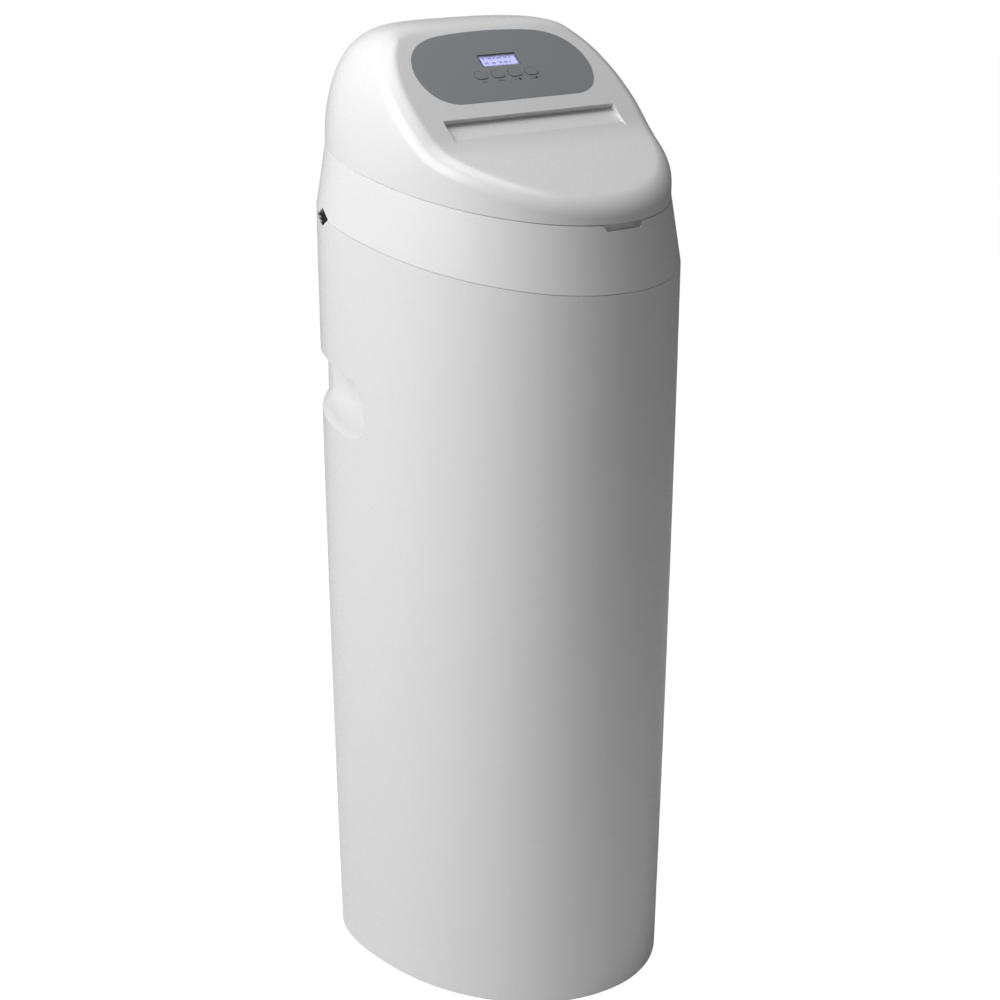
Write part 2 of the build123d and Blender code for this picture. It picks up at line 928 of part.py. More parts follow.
ear_shift = (knuckle_length + ear_length) / 2 + ear_gap
hinge_places = (-hinge_offset, hinge_offset)
ear_places = [place + shift for place in hinge_places for shift in (-ear_shift, ear_shift)]
lip_inset = hood_wall + lip_clearance
with BuildPart() as collar:
    add(collar_form(seam_groove_depth, 0, seam_groove_height))
    add(collar_form(0, seam_groove_height, collar_rise))
    add(collar_room(), mode=Mode.SUBTRACT)
    add(collar_form(rim_width, -overrun, collar_flange + overrun), mode=Mode.SUBTRACT)
    add(rim_gap_form(collar_wall + seam_groove_depth), mode=Mode.SUBTRACT)
    add(
        collar_form(lip_root, collar_rise - collar_flange - overrun, collar_rise + overrun),
        mode=Mode.SUBTRACT,
    )
    add(collar_form(lip_inset, collar_rise - lip_width, collar_rise + lip_height))
    add(
        collar_form(
            lip_inset + lip_width, collar_rise - collar_flange, collar_rise + lip_height + overrun
        ),
        mode=Mode.SUBTRACT,
    )
    add(latch_form(), mode=Mode.SUBTRACT)
    add(hinge_rods(ear_places, ear_length, hinge_radius))
    for place in ear_places:
        half = ear_length / 2
        web_front = collar_top_rear - collar_wall
        add(
            block(
                (place - half, web_front, hinge_z - ear_drop),
                (place + half, hinge_y + hinge_radius - collar_wall, hinge_z - lid_gap),
            )
        )
    add(
        hinge_rods(hinge_places, knuckle_length + 2 * ear_gap, hinge_radius + hinge_clearance),
        mode=Mode.SUBTRACT,
    )
    add(hinge_rods((0,), body_width, hinge_pin_radius), mode=Mode.SUBTRACT)
    add(hose_notch_form(), mode=Mode.SUBTRACT)
    add(seam_screws(-overrun, collar_flange + overrun, rim_screw_radius), mode=Mode.SUBTRACT)
    add(
        tube((0, 0, inlet_z), back, inlet_radius, 0, vessel_y, body_width),
        mode=Mode.SUBTRACT,
    )

# Screws through the two flanges at the lower seam
with BuildPart() as collar_screws:
    add(seam_screws(-rim_thickness, collar_flange, rim_screw_radius))
    screw_head_top = collar_flange + rim_screw_head_height
    add(seam_screws(collar_flange, screw_head_top, rim_screw_head_radius))

# Hinge pins, fast in the collar's ears
with BuildPart() as hinge_pins:
    pin_length = knuckle_length + 2 * (ear_gap + ear_length)
    add(hinge_rods(hinge_places, pin_length, hinge_pin_radius))

# Hood with its panel pocket, finger recess and hinge knuckles
button_places = [
    button_shift + (index - (button_count - 1) / 2) * button_pitch
    for index in range(button_count)
]
boss_across = board_width / 2 - boss_inset
boss_rise = board_height / 2 - boss_inset
boss_points = [
    (across, board_centre + rise)
    for across in (-boss_across, boss_across)
    for rise in (-boss_rise, boss_rise)
]


def hood_form(inset):
    """Smooth solid through the horizontal outlines of the hood."""
    climb = overall_height - inset - slice_base
    return lofted([hood_slice(slice_base + climb * share, inset) for share in slice_rise_shares])


def hood_room_form():
    """Room inside the hood, with the finger recess left in."""
    with BuildPart() as room:
        add(hood_form(hood_wall))
        add(scoop_form(hood_wall, overrun), mode=Mode.SUBTRACT)
    return room.part


with BuildPart() as hood:
    add(hood_form(0))
    add(hood_room_form(), mode=Mode.SUBTRACT)
    add(seam_slab(-body_width, collar_rise + lid_gap), mode=Mode.SUBTRACT)
    add(scoop_form(0, overrun), mode=Mode.SUBTRACT)
    add(overlay_form(-overlay_depth, overrun), mode=Mode.SUBTRACT)
    add(face_rods(boss_points, boss_radius, -board_depth, boss_root - hood_wall))
    add(
        face_rods(boss_points, screw_radius, -board_depth, screw_grip - board_depth),
        mode=Mode.SUBTRACT,
    )
    for place in button_places:
        add(face_slot(place, button_clearance, -board_depth, 0), mode=Mode.SUBTRACT)
    view_width = display_width - 2 * display_ledge
    view_height = display_height - 2 * display_ledge
    add(
        face_box(0, display_centre, view_width, view_height, -board_depth, 0),
        mode=Mode.SUBTRACT,
    )
    module_width = view_width + 2 * module_margin
    module_height = view_height + 2 * module_margin
    module_top = module_seat - hood_wall
    add(
        face_box(0, display_centre, module_width, module_height, -board_depth, module_top),
        mode=Mode.SUBTRACT,
    )
    add(
        hinge_rods(ear_places, ear_length + 2 * ear_gap, hinge_radius + hinge_clearance),
        mode=Mode.SUBTRACT,
    )
    add(hinge_rods(hinge_places, knuckle_length, hinge_radius))
    for place in hinge_places:
        half = knuckle_length / 2
        add(
            block(
                (place - half, hinge_y - knuckle_web, hinge_z + lid_gap),
                (place + half, hinge_y, hinge_z + knuckle_rise),
            )
        )
    add(
        hinge_rods(hinge_places, body_width, hinge_pin_radius + running_clearance),
        mode=Mode.SUBTRACT,
    )

# Overlay of the control panel
with BuildPart() as control_overlay:
    add(overlay_form(-overlay_depth, overlay_proud))
    for place in button_places:
        add(face_slot(place, button_clearance, -overrun, overrun), mode=Mode.SUBTRACT)
    add(
        face_box(0, display_centre, display_width, display_height, -overrun, overrun),
        mode=Mode.SUBTRACT,
    )

# Clear window over the display
with BuildPart() as display_window:
    add(face_box(0, display_centre, display_width, display_height, -overlay_depth, 0))

# Display module behind the window
with BuildPart() as display_module:
    module_low = module_top - module_thickness
    add(face_box(0, display_centre, module_width, module_height, module_low, module_top))

# Four push buttons
buttons = []
for place in button_places:
    with BuildPart() as button:
        flange_top = -hood_wall - piece_gap
        flange_low = flange_top - button_flange_thickness
        stem_low = button_travel + running_clearance - board_depth
        stem_low += switch_height + switch_plunger_height
        add(face_slot(place, 0, flange_top, overlay_proud + button_proud))
        add(face_slot(place, button_flange, flange_low, flange_top))
        add(face_rods([(place, button_line)], button_stem_radius, stem_low, flange_low))
    buttons.append(button)

# Circuit board
board_low = -board_depth - board_thickness
with BuildPart() as circuit_board:
    add(face_box(0, board_centre, board_width, board_height, board_low, -board_depth))
    add(
        face_rods(boss_points, screw_radius + sleeve_clearance, -housing_depth, overrun),
        mode=Mode.SUBTRACT,
    )

# Key switches under the buttons
with BuildPart() as key_switches:
    body_top = switch_height - board_depth
    for place in button_places:
        add(face_box(place, button_line, switch_size, switch_size, -board_depth, body_top))
        add(
            face_rods(
                [(place, button_line)],
                switch_plunger_radius,
                body_top,
                body_top + switch_plunger_height,
            )
        )

# Cover over the electronics, with sleeves for its screws
cover_width = board_width + 2 * (housing_margin + housing_wall)
cover_height = board_height + 2 * (housing_margin + housing_wall)
with BuildPart() as electronics_cover:
    cover_low = -housing_depth - housing_wall
    cover_top = -hood_wall - piece_gap
    inner_width = cover_width - 2 * housing_wall
    inner_height = cover_height - 2 * housing_wall
    add(face_box(0, board_centre, cover_width, cover_height, cover_low, cover_top))
    add(
        face_box(0, board_centre, inner_width, inner_height, -housing_depth, 0),
        mode=Mode.SUBTRACT,
    )
    add(face_rods(boss_points, boss_radius, -housing_depth, board_low))
    add(
        face_rods(boss_points, screw_radius + sleeve_clearance, cover_low, 0),
        mode=Mode.SUBTRACT,
    )

# Screws that hold the cover and the board to the hood
with BuildPart() as electronics_screws:
    add(face_rods(boss_points, screw_radius, cover_low, screw_grip - board_depth))
    add(face_rods(boss_points, screw_head_radius, cover_low - screw_head_height, cover_low))

# Resin vessel
with BuildPart() as resin_vessel:
    outline = [
        (0, vessel_base),
        (vessel_radius, vessel_base),
        (vessel_radius, vessel_shoulder),
        (neck_radius, vessel_shoulder),
        (neck_radius, neck_top),
        (0, neck_top),
    ]
    rounds = (vessel_foot_round, vessel_head_round, neck_root_round, 0)
    add(soft_turned(0, vessel_y, outline, rounds))
    inner_radius = vessel_radius - vessel_wall
    inner_base = vessel_base + vessel_wall
    inner_shoulder = vessel_shoulder - vessel_wall
    neck_bore = neck_radius - vessel_wall
    inner_outline = [
        (0, inner_base),
        (inner_radius, inner_base),
        (inner_radius, inner_shoulder),
        (neck_bore, inner_shoulder),
        (neck_bore, neck_top + overrun),
        (0, neck_top + overrun),
    ]
    inner_rounds = (
        vessel_foot_round - vessel_wall,
        vessel_head_round - vessel_wall,
        neck_root_round + vessel_wall,
        0,
    )
    add(soft_turned(0, vessel_y, inner_outline, inner_rounds), mode=Mode.SUBTRACT)

# Rubber boot that stands the vessel upright
with BuildPart() as vessel_boot:
    sleeve_bore = vessel_radius + boot_clearance
    add(tube((0, vessel_y, 0), up, boot_radius, 0, floor_top, vessel_base))
    add(
        tube(
            (0, vessel_y, 0), up, boot_radius, sleeve_bore, vessel_base, vessel_base + boot_height
        )
    )

# Strainer at the foot of the riser
strainer_top = inner_base + strainer_height
with BuildPart() as lower_strainer:
    add(tube((0, vessel_y, 0), up, strainer_radius, 0, inner_base, strainer_top))
    strainer_bottom = inner_base + strainer_floor
    add(
        tube((0, vessel_y, 0), up, riser_radius, 0, strainer_bottom, strainer_top),
        mode=Mode.SUBTRACT,
    )
    with BuildSketch(Plane.XY.offset(strainer_bottom + strainer_slit_margin)):
        with Locations((0, vessel_y)):
            with PolarLocations((strainer_radius + riser_radius) / 2, strainer_slits):
                Rectangle(strainer_radius - riser_radius + strainer_floor, strainer_slit_width)
    extrude(
        amount=strainer_height - strainer_floor - 2 * strainer_slit_margin, mode=Mode.SUBTRACT
    )

# Resin bed
bed_top = inner_base + bed_height
with BuildPart() as resin_bed:
    bed_outline = [(0, inner_base), (inner_radius, inner_base), (inner_radius, bed_top), (0, bed_top)]
    add(soft_turned(0, vessel_y, bed_outline, (vessel_foot_round - vessel_wall, 0)))
    add(
        tube((0, vessel_y, 0), up, strainer_radius, 0, 0, strainer_top),
        mode=Mode.SUBTRACT,
    )
    add(tube((0, vessel_y, 0), up, riser_radius, 0, 0, overall_height), mode=Mode.SUBTRACT)

# Riser tube through the vessel
chamber_low = neck_top + valve_floor
with BuildPart() as riser_tube:
    add(tube((0, vessel_y, 0), up, riser_radius, riser_bore, strainer_bottom, chamber_low))

# Control valve body
side_ports = ((-1, side_boss_reach), (1, side_boss_reach))
with BuildPart() as valve_body:
    add(tube((0, vessel_y, 0), up, valve_radius, 0, neck_top - skirt_height, valve_top))
    for place in (-port_offset, port_offset):
        add(tube((place, 0, port_z), back, port_radius, 0, vessel_y, port_end))
    for side, reach in side_ports:
        span = sorted((0, side * reach))
        add(tube((0, vessel_y, side_port_z), right, side_boss_radius, 0, *span))
    add(
        tube((0, vessel_y, 0), up, chamber_radius, 0, chamber_low, valve_top + overrun),
        mode=Mode.SUBTRACT,
    )
    add(
        tube((0, vessel_y, 0), up, neck_radius, 0, neck_top - skirt_height - overrun, neck_top),
        mode=Mode.SUBTRACT,
    )
    add(tube((0, vessel_y, 0), up, riser_radius, 0, neck_top, chamber_low), mode=Mode.SUBTRACT)
    for place in (-port_offset, port_offset):
        add(
            tube((place, 0, port_z), back, port_bore, 0, vessel_y, port_end + overrun),
            mode=Mode.SUBTRACT,
        )
    add(
        tube((0, vessel_y, side_port_z), right, drain_radius, 0, 0, side_boss_reach + overrun),
        mode=Mode.SUBTRACT,
    )
    add(
        tube((0, vessel_y, side_port_z), right, brine_radius, 0, -side_boss_reach - overrun, 0),
        mode=Mode.SUBTRACT,
    )
    cover_screw_points = [
        (
            cover_screw_distance * cos(radians(turn)),
            vessel_y + cover_screw_distance * sin(radians(turn)),
        )
        for turn in cover_screw_turns
    ]
    for x, y in cover_screw_points:
        add(
            tube((x, y, 0), up, cover_screw_radius, 0, valve_top - cover_screw_depth, valve_top),
            mode=Mode.SUBTRACT,
        )

# Valve cover with the two posts of the motor plate
cover_top_z = valve_top + cover_thickness
gear_low = cover_top_z + gear_gap
gear_top = gear_low + gear_thickness
plate_low = gear_top + plate_gap
post_points = [
    (side * post_distance * cos(radians(post_turn)), vessel_y - post_distance * sin(radians(post_turn)))
    for side in (-1, 1)
]
with BuildPart() as valve_cover:
    add(tube((0, vessel_y, 0), up, valve_radius, 0, valve_top, cover_top_z))
    add(
        tube((0, vessel_y, 0), up, shaft_radius + running_clearance, 0, 0, overall_height),
        mode=Mode.SUBTRACT,
    )
    for x, y in post_points:
        add(tube((x, y, 0), up, post_radius, 0, valve_top, plate_low))
    for x, y in cover_screw_points:
        add(
            tube((x, y, 0), up, cover_screw_radius, 0, 0, overall_height),
            mode=Mode.SUBTRACT,
        )

# Screws of the valve cover
with BuildPart() as valve_cover_screws:
    head_top = cover_top_z + cover_screw_head_height
    for x, y in cover_screw_points:
        shank_low = valve_top - cover_screw_depth
        add(tube((x, y, 0), up, cover_screw_radius, 0, shank_low, cover_top_z))
        add(tube((x, y, 0), up, cover_screw_head_radius, 0, cover_top_z, head_top))

# Rotor inside the valve, with its shaft and the driven gear
with BuildPart() as valve_rotor:
    rotor_radius = chamber_radius - rotor_clearance
    rotor_low = chamber_low + rotor_end_gap
    rotor_top = valve_top - rotor_end_gap
    add(tube((0, vessel_y, 0), up, rotor_radius, 0, rotor_low, rotor_top))
    add(tube((0, vessel_y, 0), up, shaft_radius, 0, rotor_top, gear_top))
    for place in (-port_offset, port_offset):
        add(
            tube((place, 0, port_z), back, rotor_port_radius, 0, 0, body_width),
            mode=Mode.SUBTRACT,
        )

pinion_y = vessel_y - gear_module * (gear_teeth + pinion_teeth) / 2
with BuildPart() as drive_gear:
    add(around(spread_gear(gear_teeth, gear_low, gear_top, -90), 0, vessel_y))
    add(tube((0, vessel_y, 0), up, shaft_radius, 0, 0, overall_height), mode=Mode.SUBTRACT)

# Pinion on the motor shaft
plate_top = plate_low + plate_thickness
with BuildPart() as drive_pinion:
    half_step = 180 / pinion_teeth
    add(around(spread_gear(pinion_teeth, gear_low, gear_top, 90 + half_step), 0, pinion_y))
    add(
        tube(
            (0, pinion_y, 0),
            up,
            pinion_shaft_radius,
            0,
            gear_top,
            plate_top + pinion_shaft_end,
        )
    )

# Plate that carries the gear motor
plate_reach = post_points[1][0] + plate_margin
plate_back = post_points[1][1] + plate_margin
plate_front = pinion_y - motor_radius + plate_margin
with BuildPart() as motor_plate:
    add(block((-plate_reach, plate_front, plate_low), (plate_reach, plate_back, plate_top)))
    add(
        tube(
            (0, pinion_y, 0), up, pinion_shaft_radius + running_clearance, 0, 0, overall_height
        ),
        mode=Mode.SUBTRACT,
    )

# Gear motor
motor_top = plate_top + motor_height
with BuildPart() as gear_motor:
    add(tube((0, pinion_y, 0), up, motor_radius, 0, plate_top, motor_top))
    add(tube((0, pinion_y, 0), up, motor_cap_radius, 0, motor_top, motor_top + motor_cap_height))
    add(
        tube(
            (0, pinion_y, 0),
            up,
            pinion_shaft_radius + running_clearance,
            0,
            0,
            plate_top + pinion_shaft_end + rotor_end_gap,
        ),
        mode=Mode.SUBTRACT,
    )

# Flow meter cage in the outlet port
cage_start = port_end - cage_length
meter_place = (port_offset, 0, port_z)
with BuildPart() as meter_cage:
    add(tube(meter_place, back, port_bore, port_bore - cage_wall, cage_start, port_end))
    for start in (cage_start, port_end - cage_bar_thickness):
        stop = start + cage_bar_thickness
        half = cage_bar_width / 2
        arm = port_bore - cage_wall / 2
        for across, rise in ((arm, half), (half, arm)):
            add(
                block(
                    (port_offset - across, start, port_z - rise),
                    (port_offset + across, stop, port_z + rise),
                )
            )
        add(tube(meter_place, back, meter_hub_radius, 0, start, stop))
    meter_bearing = meter_shaft_radius + meter_bearing_gap
    add(tube(meter_place, back, meter_bearing, 0, 0, body_width), mode=Mode.SUBTRACT)

# Flow meter rotor
with BuildPart() as meter_rotor:
    meter_middle = (cage_start + port_end) / 2
    hub_start = meter_middle - meter_hub_length / 2
    hub_stop = meter_middle + meter_hub_length / 2
    add(tube(meter_place, back, meter_shaft_radius, 0, cage_start, port_end))
    add(tube(meter_place, back, meter_hub_radius, 0, hub_start, hub_stop))
    blade_start = hub_start + cage_wall
    blade_plane = Plane(
        origin=(port_offset, blade_start, port_z), x_dir=(1, 0, 0), z_dir=(0, 1, 0)
    )
    with BuildSketch(blade_plane):
        for blade in range(meter_blades):
            with Locations(Location((0, 0), blade * 360 / meter_blades)):
                Rectangle(
                    meter_blade_radius, meter_blade_thickness, align=(Align.MIN, Align.CENTER)
                )
    extrude(amount=hub_stop - hub_start - 2 * cage_wall)

# Bypass body
plug_low = port_z - plug_drop
barrel_places = (-port_offset, port_offset)
with BuildPart() as bypass_body:
    for place in barrel_places:
        add(tube((place, 0, port_z), back, barrel_radius, 0, port_end, barrel_end))
        add(tube((place, turret_y, 0), up, turret_radius, 0, port_z, turret_top))
    add(tube((0, turret_y, port_z), right, cross_radius, 0, -port_offset, port_offset))
    add(
        tube((0, turret_y, port_z), right, barrel_bore, 0, -port_offset, port_offset),
        mode=Mode.SUBTRACT,
    )
    for place in barrel_places:
        add(
            tube((place, 0, port_z), back, barrel_bore, 0, port_end, barrel_end),
            mode=Mode.SUBTRACT,
        )
        plug_bore = plug_radius + running_clearance
        add(
            tube((place, turret_y, 0), up, plug_bore, 0, plug_low - plug_end_gap, overall_height),
            mode=Mode.SUBTRACT,
        )


def bypass_plug(place):
    """Plug of one pipe with its passage."""
    with BuildPart() as plug:
        add(tube((place, turret_y, 0), up, plug_radius, 0, plug_low, turret_top + plug_end_gap))
        add(
            tube((place, 0, port_z), back, barrel_bore, 0, 0, body_width),
            mode=Mode.SUBTRACT,
        )
    return plug


def bypass_handle(place):
    """Bar handle on top of a plug, in line with the flow when open."""
    hub_low = turret_top + plug_end_gap
    hub_top = hub_low + handle_hub_height
    with BuildPart() as handle:
        add(
            block(
                (place - handle_width / 2, turret_y - handle_length / 2, hub_low),
                (place + handle_width / 2, turret_y + handle_length / 2, hub_low + handle_height),
            )
        )
        fillet(handle.edges().filter_by(Axis.Z), handle_rounding * 2)
        fillet(handle.edges().group_by(Axis.Z)[-1], handle_rounding)
        add(tube((place, turret_y, 0), up, handle_hub_radius, 0, hub_low, hub_top))
    return handle


inlet_plug = bypass_plug(-port_offset)
outlet_plug = bypass_plug(port_offset)
inlet_handle = bypass_handle(-port_offset)
outlet_handle = bypass_handle(port_offset)


def pipe_tail(place):
    """Pipe stub that leaves the bypass, with the shoulder its nut clamps."""
    with BuildPart() as tail:
        add(
            tube(
                (place, 0, port_z), back, tail_radius, barrel_bore, barrel_end,
                barrel_end + tail_length,
            )
        )
        add(
            tube(
                (place, 0, port_z), back, tail_shoulder_radius, barrel_bore, barrel_end,
                barrel_end + nut_front,
            )
        )
    return tail


inlet_tail = pipe_tail(-port_offset)
outlet_tail = pipe_tail(port_offset)

# Union nuts of the tails
with BuildPart() as tail_nuts:
    for place in barrel_places:
        start = barrel_end - nut_overlap
        nut_plane = Plane(origin=(place, start, port_z), x_dir=(1, 0, 0), z_dir=(0, 1, 0))
        with BuildSketch(nut_plane):
            RegularPolygon(nut_radius, 6)
        extrude(amount=nut_overlap + nut_front)
    for place in barrel_places:
        start = barrel_end - nut_overlap
        add(
            tube((place, 0, port_z), back, barrel_radius, 0, start, barrel_end),
            mode=Mode.SUBTRACT,
        )
        add(
            tube((place, 0, port_z), back, tail_shoulder_radius, 0, barrel_end, body_width),
            mode=Mode.SUBTRACT,
        )


def barbs(origin, direction, radius, bore, tip):
    """Row of three barbs that end at the tip of a hose spout."""
    with BuildPart() as form:
        for index in range(3):
            stop = tip - index * barb_length
            start = stop - barb_length
            profile = [(bore, start), (radius + barb_height, start), (radius, stop), (bore, stop)]
            add(turned(origin, direction, profile))
    return form.part


# Drain elbow with its hose spout
with BuildPart() as drain_elbow:
    drain_start = side_boss_reach - brine_socket
    drain_route = [
        (drain_start, vessel_y, side_port_z),
        (drain_x + drain_bend, vessel_y, side_port_z),
        (drain_x + drain_bend, drain_end, side_port_z),
    ]
    add(swept_tube(drain_route, (drain_bend,), drain_radius, drain_bore))
    add(
        barbs(
            (drain_x + drain_bend, 0, side_port_z), back, drain_radius, drain_bore, drain_end
        )
    )

# Brine line from the valve to the brine well
brine_start = brine_socket - side_boss_reach
brine_stop = well_y + brine_boss_reach - brine_socket
with BuildPart() as brine_line:
    brine_route = [
        (brine_start, vessel_y, side_port_z),
        (well_x, vessel_y, side_port_z),
        (well_x, brine_stop, side_port_z),
    ]
    add(swept_tube(brine_route, (brine_bend,), brine_radius, brine_bore))

# Brine well with its slots
with BuildPart() as brine_well:
    add(tube((well_x, well_y, 0), up, well_radius, well_radius - well_wall, floor_top, well_top))
    slot_low = floor_top + well_slot_rise
    slot_top = slot_low + well_slot_height
    half = well_slot_width / 2
    for low, high in (
        ((well_x - body_width, well_y - half), (well_x + body_width, well_y + half)),
        ((well_x - half, well_y - body_width), (well_x + half, well_y + body_width)),
    ):
        add(block((*low, slot_low), (*high, slot_top)), mode=Mode.SUBTRACT)
    add(
        tube(
            (well_x, well_y, side_port_z), back, brine_radius + well_hole_clearance, 0, 0, body_width
        ),
        mode=Mode.SUBTRACT,
    )

# Brine valve: its foot, rod and hose socket
with BuildPart() as brine_valve:
    add(tube((well_x, well_y, 0), up, rod_foot_radius, 0, floor_top, floor_top + rod_foot_height))
    add(tube((well_x, well_y, 0), up, rod_radius, 0, floor_top, side_port_z + rod_head))
    add(
        tube((well_x, well_y, side_port_z), back, brine_boss_radius, 0, 0, brine_boss_reach)
    )
    add(
        tube(
            (well_x, well_y, side_port_z),
            back,
            brine_radius,
            0,
            brine_boss_reach - brine_socket,
            brine_boss_reach + overrun,
        ),
        mode=Mode.SUBTRACT,
    )

# Safety float that slides on the rod
with BuildPart() as safety_float:
    float_top = float_rest + float_height
    float_outline = [(0, float_rest), (float_radius, float_rest), (float_radius, float_top), (0, float_top)]
    add(soft_turned(well_x, well_y, float_outline, (float_rounding, float_rounding)))
    add(
        tube((well_x, well_y, 0), up, rod_radius + piece_gap, 0, 0, overall_height),
        mode=Mode.SUBTRACT,
    )

# Lift-off cap of the brine well
with BuildPart() as well_cap:
    cap_radius = well_radius + cap_overhang
    cap_top = well_top + cap_thickness
    skirt_radius = well_radius - well_wall - piece_gap
    add(tube((well_x, well_y, 0), up, cap_radius, 0, well_top, cap_top))
    add(
        tube(
            (well_x, well_y, 0), up, skirt_radius, skirt_radius - cap_skirt_wall,
            well_top - cap_skirt, well_top,
        )
    )
    add(tube((well_x, well_y, 0), up, cap_knob_radius, 0, cap_top, cap_top + cap_knob_height))

# Overflow elbow with its hose spout outside the wall
with BuildPart() as overflow_elbow:
    elbow_start = overflow_pad_y - overflow_nut_length - overflow_tip
    place = (overflow_x, 0, overflow_z)
    add(tube(place, back, overflow_shank_radius, 0, elbow_start, overflow_bend_y))
    spout_end = overflow_z - overflow_drop
    spout = (overflow_x, overflow_bend_y, 0)
    add(tube(spout, up, overflow_shank_radius, 0, overflow_z, overflow_z + overflow_tip))
    add(tube(spout, up, drain_radius, 0, spout_end, overflow_z))
    add(barbs(spout, (0, 0, -1), drain_radius, 0, -spout_end))
    add(tube(place, back, drain_bore, 0, 0, overflow_bend_y), mode=Mode.SUBTRACT)
    add(tube(spout, up, drain_bore, 0, 0, overflow_z), mode=Mode.SUBTRACT)

# Nut of the overflow elbow
with BuildPart() as overflow_nut:
    add(
        tube(
            (overflow_x, 0, overflow_z),
            back,
            overflow_nut_radius,
            overflow_shank_radius,
            overflow_pad_y - overflow_nut_length,
            overflow_pad_y,
        )
    )

# Power inlet with its centre pin
with BuildPart() as power_inlet:
    place = (0, 0, inlet_z)
    add(tube(place, back, inlet_radius, 0, inlet_inner_y, inlet_outer_y))
    inlet_start = inlet_inner_y + inlet_floor
    add(
        tube(place, back, inlet_bore, inlet_pin_radius, inlet_start, inlet_outer_y + overrun),
        mode=Mode.SUBTRACT,
    )

named_parts = {
    "cabinet": cabinet,
    "base_feet": base_feet,
    "collar": collar,
    "collar_screws": collar_screws,
    "hinge_pins": hinge_pins,
    "hood": hood,
    "control_overlay": control_overlay,
    "display_window": display_window,
    "display_module": display_module,
    "button_1": buttons[0],
    "button_2": buttons[1],
    "button_3": buttons[2],
    "button_4": buttons[3],
    "circuit_board": circuit_board,
    "key_switches": key_switches,
    "electronics_cover": electronics_cover,
    "electronics_screws": electronics_screws,
    "resin_vessel": resin_vessel,
    "vessel_boot": vessel_boot,
    "lower_strainer": lower_strainer,
    "resin_bed": resin_bed,
    "riser_tube": riser_tube,
    "valve_body": valve_body,
    "valve_cover": valve_cover,
    "valve_cover_screws": valve_cover_screws,
    "valve_rotor": valve_rotor,
    "drive_gear": drive_gear,
    "drive_pinion": drive_pinion,
    "motor_plate": motor_plate,
    "gear_motor": gear_motor,
    "meter_cage": meter_cage,
    "meter_rotor": meter_rotor,
    "bypass_body": bypass_body,
    "inlet_plug": inlet_plug,
    "outlet_plug": outlet_plug,
    "inlet_handle": inlet_handle,
    "outlet_handle": outlet_handle,
    "inlet_tail": inlet_tail,
    "outlet_tail": outlet_tail,
    "tail_nuts": tail_nuts,
    "drain_elbow": drain_elbow,
    "brine_line": brine_line,
    "brine_well": brine_well,
    "brine_valve": brine_valve,
    "safety_float": safety_float,
    "well_cap": well_cap,
    "overflow_elbow": overflow_elbow,
    "overflow_nut": overflow_nut,
    "power_inlet": power_inlet,
}
for name, piece in named_parts.items():
    piece.part.label = name
    export_step(piece.part, f"parts/{name}.step")
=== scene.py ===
import json
from math import cos, pi, radians, sin, tan

import bmesh
import bpy
import numpy as np
from mathutils import Matrix, Vector


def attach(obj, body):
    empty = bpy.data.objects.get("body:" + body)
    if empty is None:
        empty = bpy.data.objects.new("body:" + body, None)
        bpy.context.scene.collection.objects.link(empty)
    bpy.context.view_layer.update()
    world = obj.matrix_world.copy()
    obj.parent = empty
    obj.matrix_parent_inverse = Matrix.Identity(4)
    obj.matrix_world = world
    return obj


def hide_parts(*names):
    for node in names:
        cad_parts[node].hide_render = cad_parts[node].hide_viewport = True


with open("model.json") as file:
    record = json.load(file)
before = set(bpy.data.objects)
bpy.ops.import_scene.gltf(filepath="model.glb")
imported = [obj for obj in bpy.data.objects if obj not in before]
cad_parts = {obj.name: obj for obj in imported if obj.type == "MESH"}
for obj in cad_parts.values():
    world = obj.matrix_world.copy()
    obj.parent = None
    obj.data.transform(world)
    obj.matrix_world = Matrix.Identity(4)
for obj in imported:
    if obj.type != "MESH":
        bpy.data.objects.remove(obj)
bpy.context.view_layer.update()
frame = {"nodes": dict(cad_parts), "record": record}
nodes = frame["nodes"]
mm = 0.001

# Casing sizes in millimetres, the same as in the CAD source
middle = 29.0
base_lift = 3.0
seam_height = 900.0
seam_slope = tan(radians(9.76))
body_half = 189.0
body_front = 242.0
body_rear = 184.0
base_half = 177.5
base_front = 229.0
base_rear = 176.0
wall_bulge = 1.6
front_roundness = 2.06
rear_roundness = 2.7
collar_rise = 71.0
collar_half = 179.0
collar_front = 228.5
collar_rear = 173.0
overall_height = 1130.0
dome_half = 178.5
dome_front = 228.0
dome_rear = 172.5
dome_start = 975.0
dome_sharpness = 5.5
dome_roundness_gain = 0.5
ridge_rounding = 16.0
face_pitch = radians(43.0)
apron_pitch = radians(21.4)
face_line_y = -38.5
face_line_z = 1035.0
apron_drop = 41.5
apron_bend = 100.0
brow_radius = 70.0
brow_margin = 3.0

# Crown of the visual hood: depth of the melted edge, heights where it takes over,
# height above the ceiling inside, and least upward turn of an outside surface
crown_melt = 10.0
crown_start = 1108.0
crown_full = 1120.0
crown_ceiling = 1126.6
outside_turn = 0.02

# Skins: longest edges and how far a wall may lie from its formula, in millimetres
cabinet_edge = 24.0
collar_edge = 12.0
hood_edge = 7.0
casing_tolerance = 1.2
hood_tolerance = 1.5
most_halvings = 7
weld_distance = 1e-6
normal_step = 0.4
sharp_angle = radians(28)
wall_match = 0.86
crown_match = 0.5
crown_match_share = 0.5


def radial_share(x, y, half, front, rear, roundness_behind):
    """Size of the plan outline through a point, as a share of the full outline."""
    ahead = y < middle
    reach = np.where(ahead, front, rear)
    power = np.where(ahead, front_roundness, roundness_behind)
    across = (np.abs(x) / half) ** power
    along = (np.abs(y - middle) / reach) ** power
    return (across + along) ** (1 / power)


